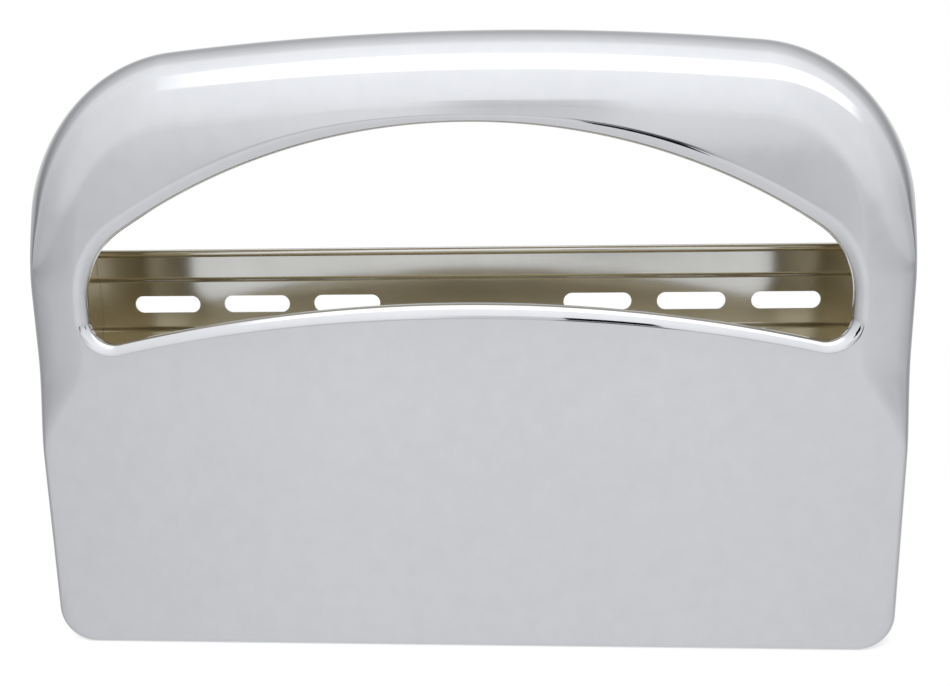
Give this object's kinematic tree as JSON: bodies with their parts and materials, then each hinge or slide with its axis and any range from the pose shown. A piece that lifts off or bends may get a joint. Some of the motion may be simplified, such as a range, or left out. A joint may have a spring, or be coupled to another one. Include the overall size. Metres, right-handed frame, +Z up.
{
  "type": "toilet seat cover dispenser",
  "caption": "Open-backed chrome wall hood with a wide lens-shaped opening with a rolled lip, a pocket for folded paper seat covers and a slotted mounting strip.",
  "frame": {"origin": "middle of the hood's footprint, on the plane of its flat bottom", "axes": "+Z up, +Y towards the wall, the front panel with the opening faces -Y, +X runs across to the right as seen from the front"},
  "size_m": [0.4064, 0.0762, 0.2921],
  "materials": {
    "hood_chrome": "bright chrome plate on pressed sheet steel",
    "strip_nickel": "satin, slightly warm nickel-toned plate on thin sheet steel"
  },
  "bodies": {
    "root": {"front_shell": "hood_chrome", "mounting_strip": "strip_nickel"}
  },
  "joints": []
}
